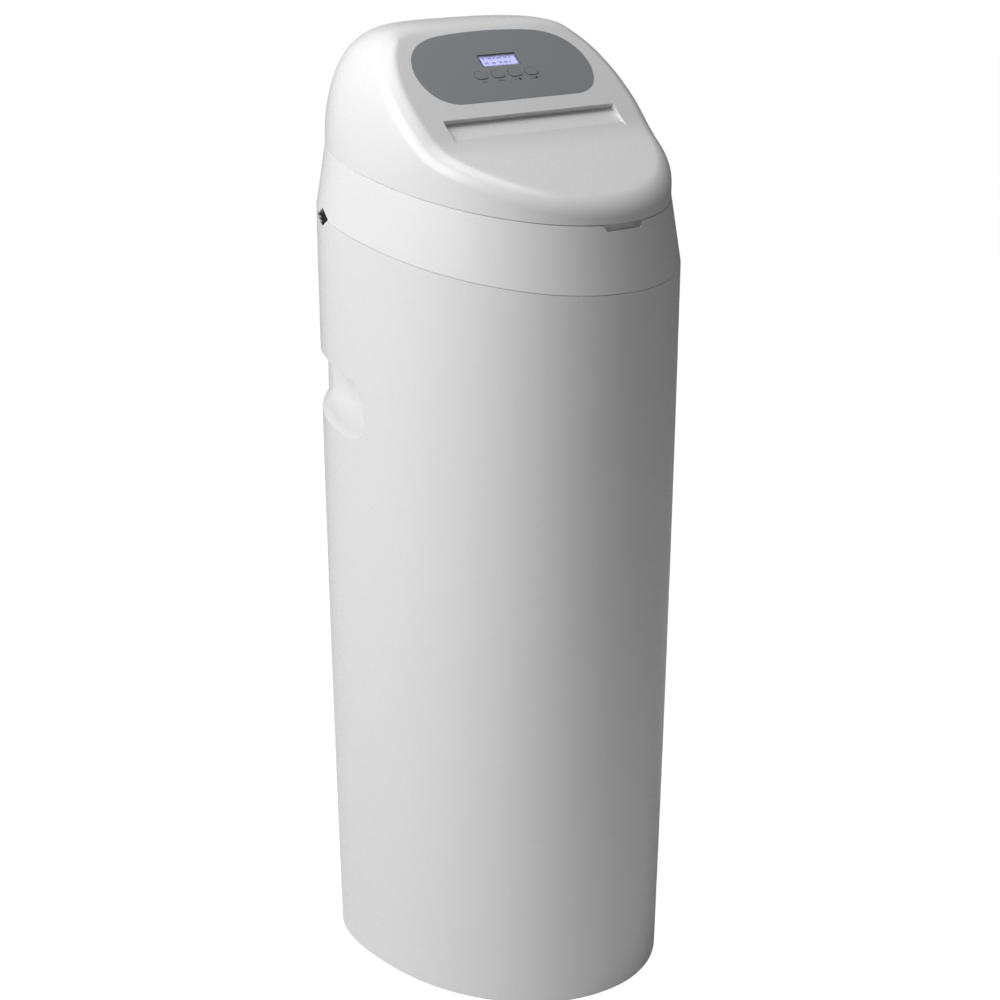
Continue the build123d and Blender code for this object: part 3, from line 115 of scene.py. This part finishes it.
def cabinet_room(x, y, z):
    """Distance into the cabinet from its outer wall."""
    tall = seam_height - base_lift
    up = np.clip((z - base_lift) / (tall + seam_slope * (y - middle)), 0, 1)
    swell = wall_bulge * 4 * up * (1 - up)
    half = base_half + (body_half - base_half) * up + swell
    front = base_front + (body_front - base_front) * up + swell
    rear = base_rear + (body_rear - base_rear) * up + swell
    return (1 - radial_share(x, y, half, front, rear, rear_roundness)) * half


def collar_room(x, y, z):
    """Distance into the collar from its outer wall."""
    up = (z - seam_height - seam_slope * (y - middle)) / collar_rise
    half = body_half + (collar_half - body_half) * up
    front = body_front + (collar_front - body_front) * up
    rear = body_rear + (collar_rear - body_rear) * up
    return (1 - radial_share(x, y, half, front, rear, rear_roundness)) * half


def face_surface(y):
    """Height and slope of the hood's face: apron, bend, panel, brow and top."""
    bend_y = face_line_y - apron_drop * cos(face_pitch)
    bend_z = face_line_z - apron_drop * sin(face_pitch)
    bend_run = apron_bend * tan((face_pitch - apron_pitch) / 2)
    brow_run = brow_radius * tan(face_pitch / 2)
    top = overall_height + brow_margin
    brow_end = bend_y + (top - bend_z) / tan(face_pitch) + brow_run
    bend_start = bend_y - bend_run * cos(apron_pitch)
    bend_centre = bend_start - apron_bend * sin(apron_pitch)
    start_z = bend_z + (bend_start - bend_y) * tan(apron_pitch)
    bend_turn = np.arcsin(np.clip((y - bend_centre) / apron_bend, -1, 1))
    brow_turn = np.arcsin(np.clip((brow_end - y) / brow_radius, -1, 1))
    bend_stop = bend_y + bend_run * cos(face_pitch)
    zones = [
        y < bend_start,
        y < bend_stop,
        y < brow_end - brow_radius * sin(face_pitch),
        y < brow_end,
    ]
    height = np.select(
        zones,
        [
            bend_z + (y - bend_y) * tan(apron_pitch),
            start_z + apron_bend * (cos(apron_pitch) - np.cos(bend_turn)),
            bend_z + (y - bend_y) * tan(face_pitch),
            top - brow_radius * (1 - np.cos(brow_turn)),
        ],
        top,
    )
    slope = np.select(zones, [apron_pitch, bend_turn, face_pitch, brow_turn], 0.0)
    return height, slope


def hood_room(x, y, z):
    """Distance into the hood from its outer surface, with the ridge rounded."""
    lift = np.clip((z - dome_start) / (overall_height - dome_start), 0, 1)
    share = np.maximum(1 - lift**2, 0) ** (1 / dome_sharpness)
    roundness = rear_roundness + dome_roundness_gain * lift
    wall = (share - radial_share(x, y, dome_half, dome_front, dome_rear, roundness)) * dome_half
    height, slope = face_surface(y)
    face = (height - z) * np.cos(slope)
    near = np.minimum(wall, face)
    ball = ridge_rounding - np.hypot(ridge_rounding - wall, ridge_rounding - face)
    return np.where((wall > ridge_rounding) | (face > ridge_rounding), near, ball)


def crown_surface(x, y):
    """Height of the hood's top, where the face and the dome melt into each other."""
    roundness = rear_roundness + dome_roundness_gain
    radial = radial_share(x, y, dome_half, dome_front, dome_rear, roundness)
    lift = np.sqrt(1 - np.minimum(radial, 1) ** dome_sharpness)
    dome = dome_start + (overall_height - dome_start) * lift
    face = face_surface(y)[0]
    melt = np.maximum(crown_melt - np.abs(dome - face), 0) / crown_melt
    return np.minimum(dome, face) - melt**2 * crown_melt / 4


def crown_share(z, upward):
    """How far a point of the hood follows the crown surface: 0 below it, 1 at the top."""
    climb = np.clip((z - crown_start) / (crown_full - crown_start), 0, 1)
    outside = (upward > outside_turn) | (z > crown_ceiling)
    return np.where(outside, climb * climb * (3 - 2 * climb), 0)


def smooth_crown(mesh):
    """Move the top of the hood's skin onto the crown surface and give its normals there."""
    points = np.array([tuple(vert.co) for vert in mesh.vertices]) / mm
    upward = np.array([vert.normal.z for vert in mesh.vertices])
    share = crown_share(points[:, 2], upward)
    points[:, 2] += share * (crown_surface(points[:, 0], points[:, 1]) - points[:, 2])
    for vert, point in zip(mesh.vertices, points):
        vert.co = tuple(point * mm)
    mesh.update()
    x, y = points[:, 0], points[:, 1]
    across = crown_surface(x - normal_step, y) - crown_surface(x + normal_step, y)
    along = crown_surface(x, y - normal_step) - crown_surface(x, y + normal_step)
    normals = np.stack([across, along, np.full_like(x, 2 * normal_step)], axis=1)
    return share, normals / np.linalg.norm(normals, axis=1, keepdims=True)


def outward_normals(room, points):
    """Unit normals of a room function's surface at points in millimetres."""
    slopes = []
    for axis in range(3):
        ahead = points.copy()
        behind = points.copy()
        ahead[:, axis] += normal_step
        behind[:, axis] -= normal_step
        slopes.append(room(*behind.T) - room(*ahead.T))
    normals = np.stack(slopes, axis=1)
    return normals / np.maximum(np.linalg.norm(normals, axis=1, keepdims=True), 1e-9)


def smooth_skin(name, body, room, longest, tolerance, crowned=False):
    """Copy of a casing piece with short edges and the smooth normals of its formula."""
    source = nodes[name]
    mesh = source.data.copy()
    work = bmesh.new()
    work.from_mesh(mesh)
    bmesh.ops.remove_doubles(work, verts=work.verts, dist=weld_distance)
    for _ in range(most_halvings):
        long_edges = [edge for edge in work.edges if edge.calc_length() > longest * mm]
        if not long_edges:
            break
        bmesh.ops.subdivide_edges(work, edges=long_edges, cuts=1)
        bmesh.ops.triangulate(work, faces=work.faces)
    work.to_mesh(mesh)
    work.free()
    mesh.shade_smooth()
    mesh.set_sharp_from_angle(angle=sharp_angle)
    skin = bpy.data.objects.new(name + "_skin", mesh)
    bpy.context.scene.collection.objects.link(skin)
    skin.matrix_world = source.matrix_world
    bpy.context.view_layer.update()
    placed = np.array([tuple(skin.matrix_world @ vert.co) for vert in mesh.vertices]) / mm
    normals = outward_normals(room, placed)
    near = np.abs(room(*placed.T)) < tolerance
    share = np.zeros(len(placed))
    if crowned:
        share, crown_normals = smooth_crown(mesh)
        normals += (crown_normals - normals) * share[:, None]
        normals /= np.linalg.norm(normals, axis=1, keepdims=True)
        near |= share > 0
    kept = np.array([tuple(corner.vector) for corner in mesh.corner_normals])
    corner_vertex = np.array([loop.vertex_index for loop in mesh.loops])
    face_normal = np.zeros_like(kept)
    for face in mesh.polygons:
        face_normal[face.loop_start : face.loop_start + face.loop_total] = tuple(face.normal)
    wanted = normals[corner_vertex]
    on_crown = share[corner_vertex] > crown_match_share
    least_match = np.where(on_crown, crown_match, wall_match)
    agree = near[corner_vertex] & (np.sum(wanted * face_normal, axis=1) > least_match)
    kept[agree] = wanted[agree]
    mesh.normals_split_custom_set([tuple(normal) for normal in kept])
    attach(skin, body)
    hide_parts(name)
    return skin


skins = {
    "cabinet": smooth_skin("cabinet", "casing", cabinet_room, cabinet_edge, casing_tolerance),
    "collar": smooth_skin("collar", "casing", collar_room, collar_edge, casing_tolerance),
    "hood": smooth_skin("hood", "lid", hood_room, hood_edge, hood_tolerance, crowned=True),
}


# Cloudy tint and fine grain of the plastics
cloud_scale = 9.0
cloud_detail = 4.0
grain_detail = 2.0
relief_depth = 0.0004


def linked(tree, kind, **inputs):
    """New shader node with values or links on its named inputs."""
    shader = tree.nodes.new(kind)
    for name, value in inputs.items():
        socket = shader.inputs[name.replace("_", " ")]
        if isinstance(value, bpy.types.NodeSocket):
            tree.links.new(value, socket)
        else:
            socket.default_value = value
    return shader


def plastic(name, color, shade, rough, spread, grain, bump, **extra):
    """Material whose colour, gloss and surface all vary a little with place."""
    material = bpy.data.materials.new(name)
    material.use_nodes = True
    tree = material.node_tree
    tree.nodes.clear()
    place = tree.nodes.new("ShaderNodeTexCoord").outputs["Object"]
    cloud = linked(
        tree, "ShaderNodeTexNoise", Vector=place, Scale=cloud_scale, Detail=cloud_detail
    )
    fine = linked(tree, "ShaderNodeTexNoise", Vector=place, Scale=grain, Detail=grain_detail)
    tint = tree.nodes.new("ShaderNodeMix")
    tint.data_type = "RGBA"
    tint.inputs["A"].default_value = (*color, 1)
    tint.inputs["B"].default_value = (*shade, 1)
    tree.links.new(cloud.outputs["Fac"], tint.inputs["Factor"])
    gloss = linked(tree, "ShaderNodeMapRange", Value=fine.outputs["Fac"])
    gloss.inputs["To Min"].default_value = rough - spread
    gloss.inputs["To Max"].default_value = rough + spread
    relief = linked(tree, "ShaderNodeBump", Height=fine.outputs["Fac"], Strength=bump)
    relief.inputs["Distance"].default_value = relief_depth
    surface = linked(
        tree,
        "ShaderNodeBsdfPrincipled",
        Base_Color=tint.outputs["Result"],
        Roughness=gloss.outputs["Result"],
        Normal=relief.outputs["Normal"],
    )
    for key, value in extra.items():
        surface.inputs[key.replace("_", " ")].default_value = value
    output = tree.nodes.new("ShaderNodeOutputMaterial")
    tree.links.new(surface.outputs["BSDF"], output.inputs["Surface"])
    return material


materials = {
    "white_plastic": plastic(
        "white_plastic", (0.86, 0.855, 0.86), (0.84, 0.835, 0.84), 0.28, 0.04, 900.0, 0.02
    ),
    "grey_film": plastic(
        "grey_film", (0.29, 0.31, 0.325), (0.27, 0.29, 0.305), 0.42, 0.05, 1400.0, 0.10
    ),
    "grey_key": plastic(
        "grey_key", (0.285, 0.305, 0.32), (0.265, 0.285, 0.30), 0.42, 0.05, 1600.0, 0.10
    ),
    "clear_window": plastic(
        "clear_window", (0.93, 0.94, 0.97), (0.90, 0.91, 0.95), 0.08, 0.02, 300.0, 0.01,
        Transmission_Weight=0.95, IOR=1.49,
    ),
    "display_glass": plastic(
        "display_glass", (0.42, 0.42, 0.66), (0.36, 0.37, 0.60), 0.15, 0.03, 500.0, 0.02,
        Emission_Color=(0.52, 0.53, 0.90, 1), Emission_Strength=1.15,
    ),
    "board_green": plastic(
        "board_green", (0.02, 0.16, 0.07), (0.015, 0.10, 0.05), 0.35, 0.08, 600.0, 0.10
    ),
    "black_plastic": plastic(
        "black_plastic", (0.03, 0.03, 0.033), (0.02, 0.02, 0.022), 0.5, 0.08, 900.0, 0.20
    ),
    "steel": plastic(
        "steel", (0.60, 0.60, 0.61), (0.48, 0.48, 0.50), 0.28, 0.08, 1800.0, 0.10, Metallic=1.0
    ),
    "vessel_fibre": plastic(
        "vessel_fibre", (0.06, 0.08, 0.11), (0.04, 0.055, 0.08), 0.38, 0.10, 160.0, 0.40
    ),
    "resin": plastic("resin", (0.42, 0.22, 0.05), (0.28, 0.13, 0.03), 0.6, 0.10, 1500.0, 0.90),
    "valve_plastic": plastic(
        "valve_plastic", (0.045, 0.045, 0.05), (0.03, 0.03, 0.035), 0.42, 0.08, 700.0, 0.25
    ),
    "gear_plastic": plastic(
        "gear_plastic", (0.70, 0.67, 0.58), (0.62, 0.59, 0.50), 0.4, 0.06, 900.0, 0.10
    ),
    "handle_red": plastic(
        "handle_red", (0.42, 0.03, 0.02), (0.34, 0.02, 0.015), 0.36, 0.06, 900.0, 0.12
    ),
    "pipe_plastic": plastic(
        "pipe_plastic", (0.16, 0.17, 0.185), (0.13, 0.14, 0.155), 0.45, 0.08, 800.0, 0.15
    ),
    "brine_tube": plastic(
        "brine_tube", (0.72, 0.75, 0.78), (0.64, 0.67, 0.70), 0.25, 0.05, 500.0, 0.05
    ),
    "well_plastic": plastic(
        "well_plastic", (0.66, 0.68, 0.71), (0.60, 0.62, 0.65), 0.4, 0.06, 700.0, 0.10
    ),
    # Dark ink for the button dots, also used as painted shadow along the display's top and left
    # edges
    "dark_ink_and_painted_shadow": plastic(
        "dark_ink_and_painted_shadow", (0.035, 0.037, 0.04), (0.03, 0.03, 0.033), 0.5, 0.05, 900.0, 0.03
    ),
    "ring_ink": plastic(
        "ring_ink", (0.10, 0.11, 0.12), (0.085, 0.095, 0.105), 0.5, 0.05, 900.0, 0.03
    ),
    "display_ink": plastic(
        "display_ink", (0.34, 0.35, 0.66), (0.30, 0.31, 0.60), 0.4, 0.05, 900.0, 0.03
    ),
}


def paint(piece, slot):
    """Give a piece the material of a record slot."""
    piece.data.materials.clear()
    piece.data.materials.append(materials[slot])


slot_of = {entry["node"]: entry["material_slot"] for entry in frame["record"]["subparts"]}
for name, piece in nodes.items():
    paint(piece, slot_of[name])
for name, piece in skins.items():
    paint(piece, slot_of[name])


# The face plane: across, up the slope, and out of the panel
face_frame = Matrix(
    (
        (1, 0, 0, 0),
        (0, cos(face_pitch), -sin(face_pitch), face_line_y * mm),
        (0, sin(face_pitch), cos(face_pitch), face_line_z * mm),
        (0, 0, 0, 1),
    )
)


def face_sheet(name, outline, height, thickness, slot, hole=()):
    """Thin sheet on the panel, riding on the hood, from points in millimetres: print marks, and
    the painted shadow in the display's recess.
    """
    work = bmesh.new()
    count = len(outline)
    if hole:
        outer = [work.verts.new((x * mm, y * mm, height * mm)) for x, y in outline]
        inner = [work.verts.new((x * mm, y * mm, height * mm)) for x, y in hole]
        for index in range(count):
            after = (index + 1) % count
            work.faces.new((outer[index], outer[after], inner[after], inner[index]))
    else:
        work.faces.new([work.verts.new((x * mm, y * mm, height * mm)) for x, y in outline])
    made = bmesh.ops.extrude_face_region(work, geom=work.faces[:])
    lifted = [item for item in made["geom"] if isinstance(item, bmesh.types.BMVert)]
    bmesh.ops.translate(work, verts=lifted, vec=(0, 0, -thickness * mm))
    bmesh.ops.recalc_face_normals(work, faces=work.faces)
    mesh = bpy.data.meshes.new(name)
    work.to_mesh(mesh)
    work.free()
    flat_piece = bpy.data.objects.new(name, mesh)
    bpy.context.scene.collection.objects.link(flat_piece)
    flat_piece.matrix_world = face_frame
    paint(flat_piece, slot)
    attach(flat_piece, "lid")
    return flat_piece


def stadium(centre_x, centre_y, width, height, grow, steps=14):
    """Points round a rounded slot, grown all round."""
    radius = height / 2 + grow
    shift = (width - height) / 2
    points = []
    for side, start in ((1, -pi / 2), (-1, pi / 2)):
        for step in range(steps + 1):
            turn = start + pi * step / steps
            x = centre_x + side * shift + radius * cos(turn)
            points.append((x, centre_y + radius * sin(turn)))
    return points


def rectangle(centre_x, centre_y, width, height):
    """Corners of a rectangle."""
    x, y = width / 2, height / 2
    return [
        (centre_x - x, centre_y - y),
        (centre_x + x, centre_y - y),
        (centre_x + x, centre_y + y),
        (centre_x - x, centre_y + y),
    ]


# Printed outlines round the buttons
button_line = 57.0
button_places = [-37.5, -13.5, 10.5, 34.5]
button_width = 17.5
button_height = 10.5
ring_inner_grow = 0.35
ring_outer_grow = 0.8
sheet_height = 0.36
sheet_thickness = 0.08
for index, place in enumerate(button_places):
    face_sheet(
        f"button_ring_{index + 1}",
        stadium(place, button_line, button_width, button_height, ring_outer_grow),
        sheet_height,
        sheet_thickness,
        "ring_ink",
        stadium(place, button_line, button_width, button_height, ring_inner_grow),
    )

# Marks under the buttons: a bar under each, and a dot beside two of them
mark_line = 47.3
mark_shifts = [0.0, 0.0, -2.4, -2.4]
mark_widths = [7.0, 9.0, 3.4, 5.4]
mark_thickness = 0.8
dot_shift = 2.8
dot_width = 3.6
dot_height = 3.2
for index, place in enumerate(button_places):
    face_sheet(
        f"button_mark_{index + 1}",
        rectangle(place + mark_shifts[index], mark_line, mark_widths[index], mark_thickness),
        sheet_height,
        sheet_thickness,
        "ring_ink",
    )
for index, place in enumerate(button_places[2:]):
    face_sheet(
        f"button_dot_{index + 1}",
        stadium(place + dot_shift, mark_line, dot_width, dot_height, 0),
        sheet_height,
        sheet_thickness,
        "dark_ink_and_painted_shadow",
    )

# Painted shadow of the display window's recess: dark strips along the top and left edges of the
# display
display_line = 76.5
display_width = 53.6
display_height = 16.1
top_shadow_width = 1.5
left_shadow_width = 1.0
face_sheet(
    "display_top_painted_shadow",
    rectangle(0, display_line + (display_height + top_shadow_width) / 2, display_width, top_shadow_width),
    sheet_height,
    sheet_thickness,
    "dark_ink_and_painted_shadow",
)
face_sheet(
    "display_left_painted_shadow",
    rectangle(-(display_width + left_shadow_width) / 2, display_line, left_shadow_width, display_height),
    sheet_height,
    sheet_thickness,
    "dark_ink_and_painted_shadow",
)

# Two rows of lit cells on the display
cell_width = 1.7
cell_height = 2.6
cell_pitch = 2.5
cell_count = 18
row_shifts = [3.4, -3.4]
cells_shown = [(0, 3, 4, 6, 8, 9, 10, 12, 13, 15), (0, 1, 4, 5, 8, 9, 11, 12, 14)]
for row, shift in enumerate(row_shifts):
    for cell in cells_shown[row]:
        face_sheet(
            f"display_cell_{row + 1}_{cell + 1}",
            rectangle(
                (cell - (cell_count - 1) / 2) * cell_pitch,
                display_line + shift,
                cell_width,
                cell_height,
            ),
            sheet_height,
            sheet_thickness,
            "display_ink",
        )

# Camera solved from the photograph
lens = 79.44
sensor_width = 36.0
view_end = 50.0
camera_place = (-1.5726, -1.9560, 1.3607)
camera_turn = 0.6732
camera_pitch = 0.3047
camera_data = bpy.data.cameras.new("camera")
camera_data.lens = lens
camera_data.sensor_width = sensor_width
camera_data.clip_end = view_end
camera = bpy.data.objects.new("camera", camera_data)
bpy.context.scene.collection.objects.link(camera)
level = cos(camera_pitch)
ahead = Vector((sin(camera_turn) * level, cos(camera_turn) * level, -sin(camera_pitch)))
right = Vector((cos(camera_turn), -sin(camera_turn), 0))
upward = right.cross(ahead)
camera.matrix_world = Matrix(
    (
        (right.x, upward.x, -ahead.x, camera_place[0]),
        (right.y, upward.y, -ahead.y, camera_place[1]),
        (right.z, upward.z, -ahead.z, camera_place[2]),
        (0, 0, 0, 1),
    )
)
scene = bpy.context.scene
scene.camera = camera
scene.view_settings.view_transform = "Standard"


# Square lamps in metres and watts: from the upper left, from above, and weakly from the front
key_place = (-1.9, 0.33, 2.1)
key_target = (0, 0, 0.8)
key_side = 1.9
key_power = 51.0
top_place = (0.0, 0.05, 3.0)
top_target = (0, 0, 0.9)
top_side = 1.5
top_power = 17.5
front_place = (-1.2, -3.0, 1.6)
front_target = (0, 0, 0.7)
front_side = 1.8
front_power = 2.2


def area_light(name, place, target, side, power):
    """Soft square lamp that looks at a target."""
    data = bpy.data.lights.new(name, "AREA")
    data.shape = "RECTANGLE"
    data.size = side
    data.size_y = side
    data.energy = power
    lamp = bpy.data.objects.new(name, data)
    scene.collection.objects.link(lamp)
    lamp.location = place
    direction = Vector(target) - Vector(place)
    lamp.rotation_euler = direction.to_track_quat("-Z", "Y").to_euler()


area_light("key", key_place, key_target, key_side, key_power)
area_light("top", top_place, top_target, top_side, top_power)
area_light("front", front_place, front_target, front_side, front_power)

# White surroundings: bright for the camera, softer as light
seen_strength = 1.0
glow_strength = 0.075
glow_color = (1, 0.99, 1, 1)
white = (1, 1, 1, 1)
world = bpy.data.worlds.new("surroundings")
scene.world = world
world.use_nodes = True
tree = world.node_tree
tree.nodes.clear()
path = tree.nodes.new("ShaderNodeLightPath")
seen = linked(tree, "ShaderNodeBackground", Color=white, Strength=seen_strength)
glow = linked(tree, "ShaderNodeBackground", Color=glow_color, Strength=glow_strength)
choice = tree.nodes.new("ShaderNodeMixShader")
tree.links.new(path.outputs["Is Camera Ray"], choice.inputs["Fac"])
tree.links.new(glow.outputs["Background"], choice.inputs[1])
tree.links.new(seen.outputs["Background"], choice.inputs[2])
world_output = tree.nodes.new("ShaderNodeOutputWorld")
tree.links.new(choice.outputs["Shader"], world_output.inputs["Surface"])

# Pale floor: slightly cloudy as a surface, and nearly white where the camera sees it
floor_reach = 9.0
floor_cloud_scale = 3.0
floor_cloud_detail = 3.0
floor_darkest = 0.84
floor_lightest = 0.88
floor_shine = 1.15
floor_shine_share = 0.86
floor_corners = [
    (-floor_reach, -floor_reach, 0),
    (floor_reach, -floor_reach, 0),
    (floor_reach, floor_reach, 0),
    (-floor_reach, floor_reach, 0),
]
floor_mesh = bpy.data.meshes.new("floor")
floor_mesh.from_pydata(floor_corners, [], [(0, 1, 2, 3)])
floor = bpy.data.objects.new("floor", floor_mesh)
scene.collection.objects.link(floor)
floor_paint = bpy.data.materials.new("floor_white")
floor_paint.use_nodes = True
tree = floor_paint.node_tree
tree.nodes.clear()
place = tree.nodes.new("ShaderNodeTexCoord").outputs["Object"]
cloud = linked(
    tree,
    "ShaderNodeTexNoise",
    Vector=place,
    Scale=floor_cloud_scale,
    Detail=floor_cloud_detail,
)
tone = linked(tree, "ShaderNodeMapRange", Value=cloud.outputs["Fac"])
tone.inputs["To Min"].default_value = floor_darkest
tone.inputs["To Max"].default_value = floor_lightest
matt = linked(tree, "ShaderNodeBsdfDiffuse", Color=tone.outputs["Result"])
shine = linked(tree, "ShaderNodeEmission", Color=white, Strength=floor_shine)
path = tree.nodes.new("ShaderNodeLightPath")
weight = linked(tree, "ShaderNodeMath")
weight.operation = "MULTIPLY"
weight.inputs[1].default_value = floor_shine_share
tree.links.new(path.outputs["Is Camera Ray"], weight.inputs[0])
choice = tree.nodes.new("ShaderNodeMixShader")
tree.links.new(weight.outputs["Value"], choice.inputs["Fac"])
tree.links.new(matt.outputs["BSDF"], choice.inputs[1])
tree.links.new(shine.outputs["Emission"], choice.inputs[2])
floor_output = tree.nodes.new("ShaderNodeOutputMaterial")
tree.links.new(choice.outputs["Shader"], floor_output.inputs["Surface"])
floor_mesh.materials.append(floor_paint)
